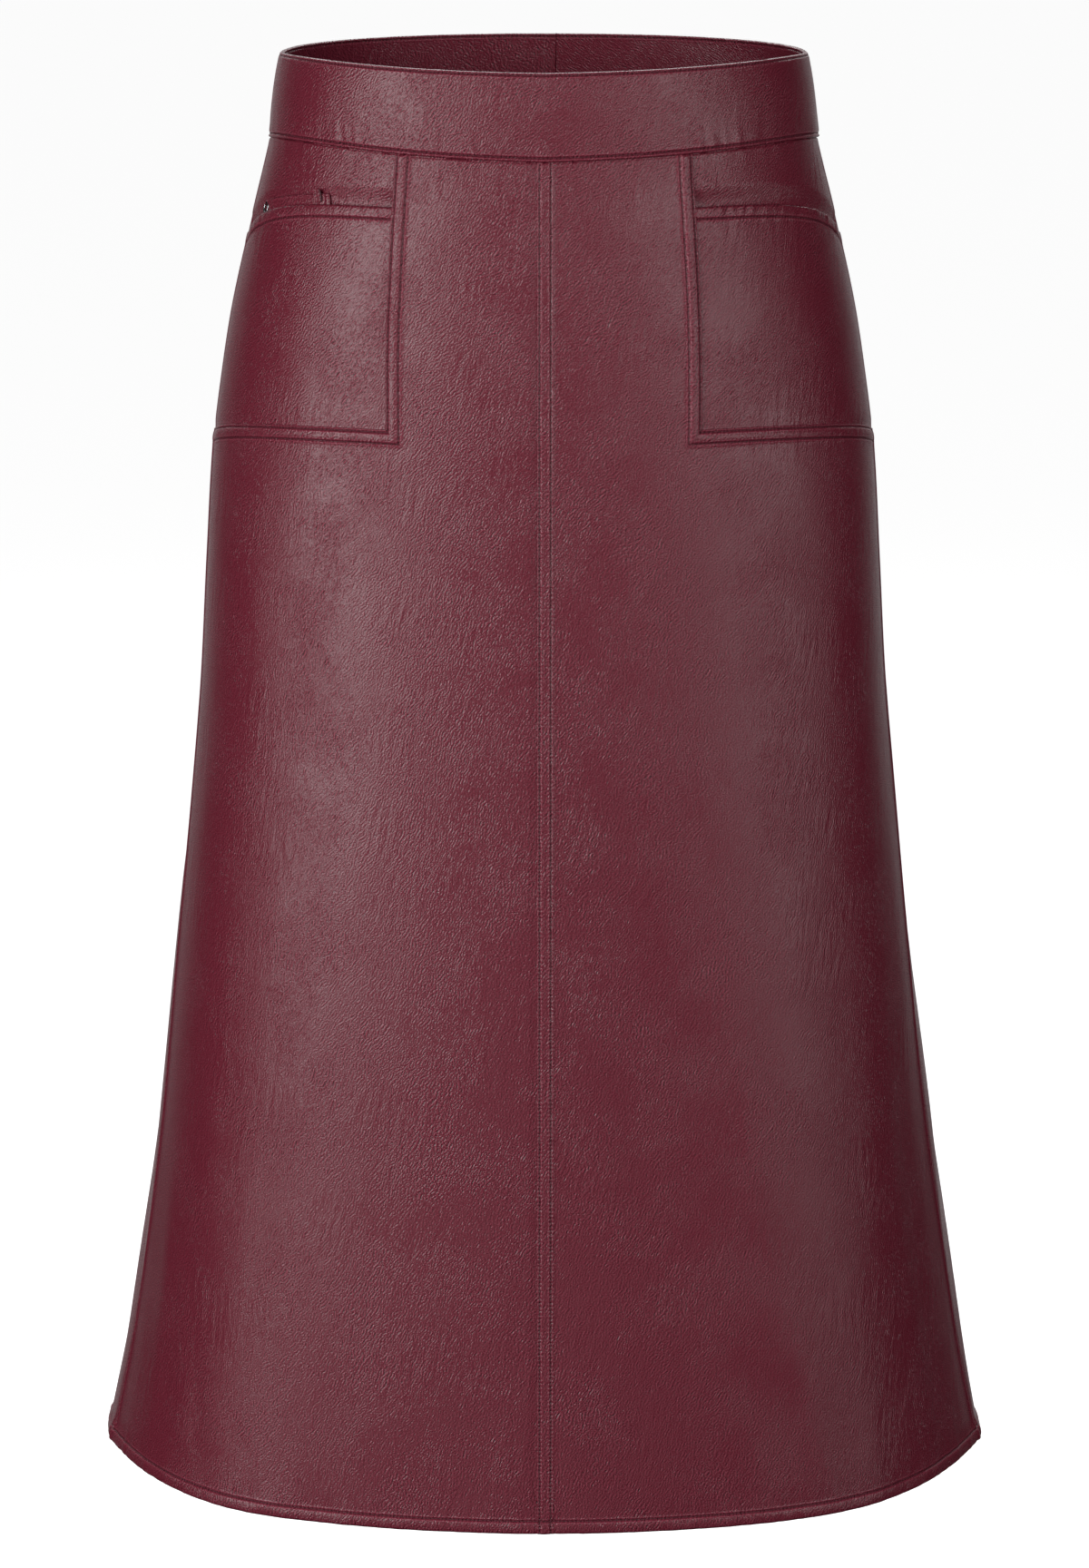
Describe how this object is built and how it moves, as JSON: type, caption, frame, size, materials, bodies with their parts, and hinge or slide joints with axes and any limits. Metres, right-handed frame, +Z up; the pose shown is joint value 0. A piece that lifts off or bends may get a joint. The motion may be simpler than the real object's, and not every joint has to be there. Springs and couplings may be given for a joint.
{
  "type": "leather skirt",
  "caption": "Flared mid-calf leather skirt in its hollow worn shape, with a plain waistband, flush front pockets, a centre front seam and a short strap at one pocket.",
  "frame": {"origin": "centre of the waistband, half way up its height at the sides, where the wearer holds the skirt", "axes": "+Z up, -Y towards the front of the skirt, +X towards the wearer's left"},
  "size_m": [0.4968, 0.3516, 0.7834],
  "materials": {
    "leather": "semi-gloss fine grain nappa, burgundy",
    "strap_leather": "semi-gloss fine grain nappa, burgundy",
    "eyelet_metal": "polished grey metal"
  },
  "bodies": {
    "root": {"front_panel_left": "leather", "front_panel_right": "leather", "pocket_front_left": "leather", "pocket_front_right": "leather", "hip_yoke_left": "leather", "hip_yoke_right": "leather", "back_panel_left": "leather", "back_panel_right": "leather", "waistband_front": "leather", "waistband_back_left": "leather", "waistband_back_right": "leather", "pocket_strap": "strap_leather", "strap_keeper": "strap_leather", "strap_eyelet": "eyelet_metal"}
  },
  "joints": []
}
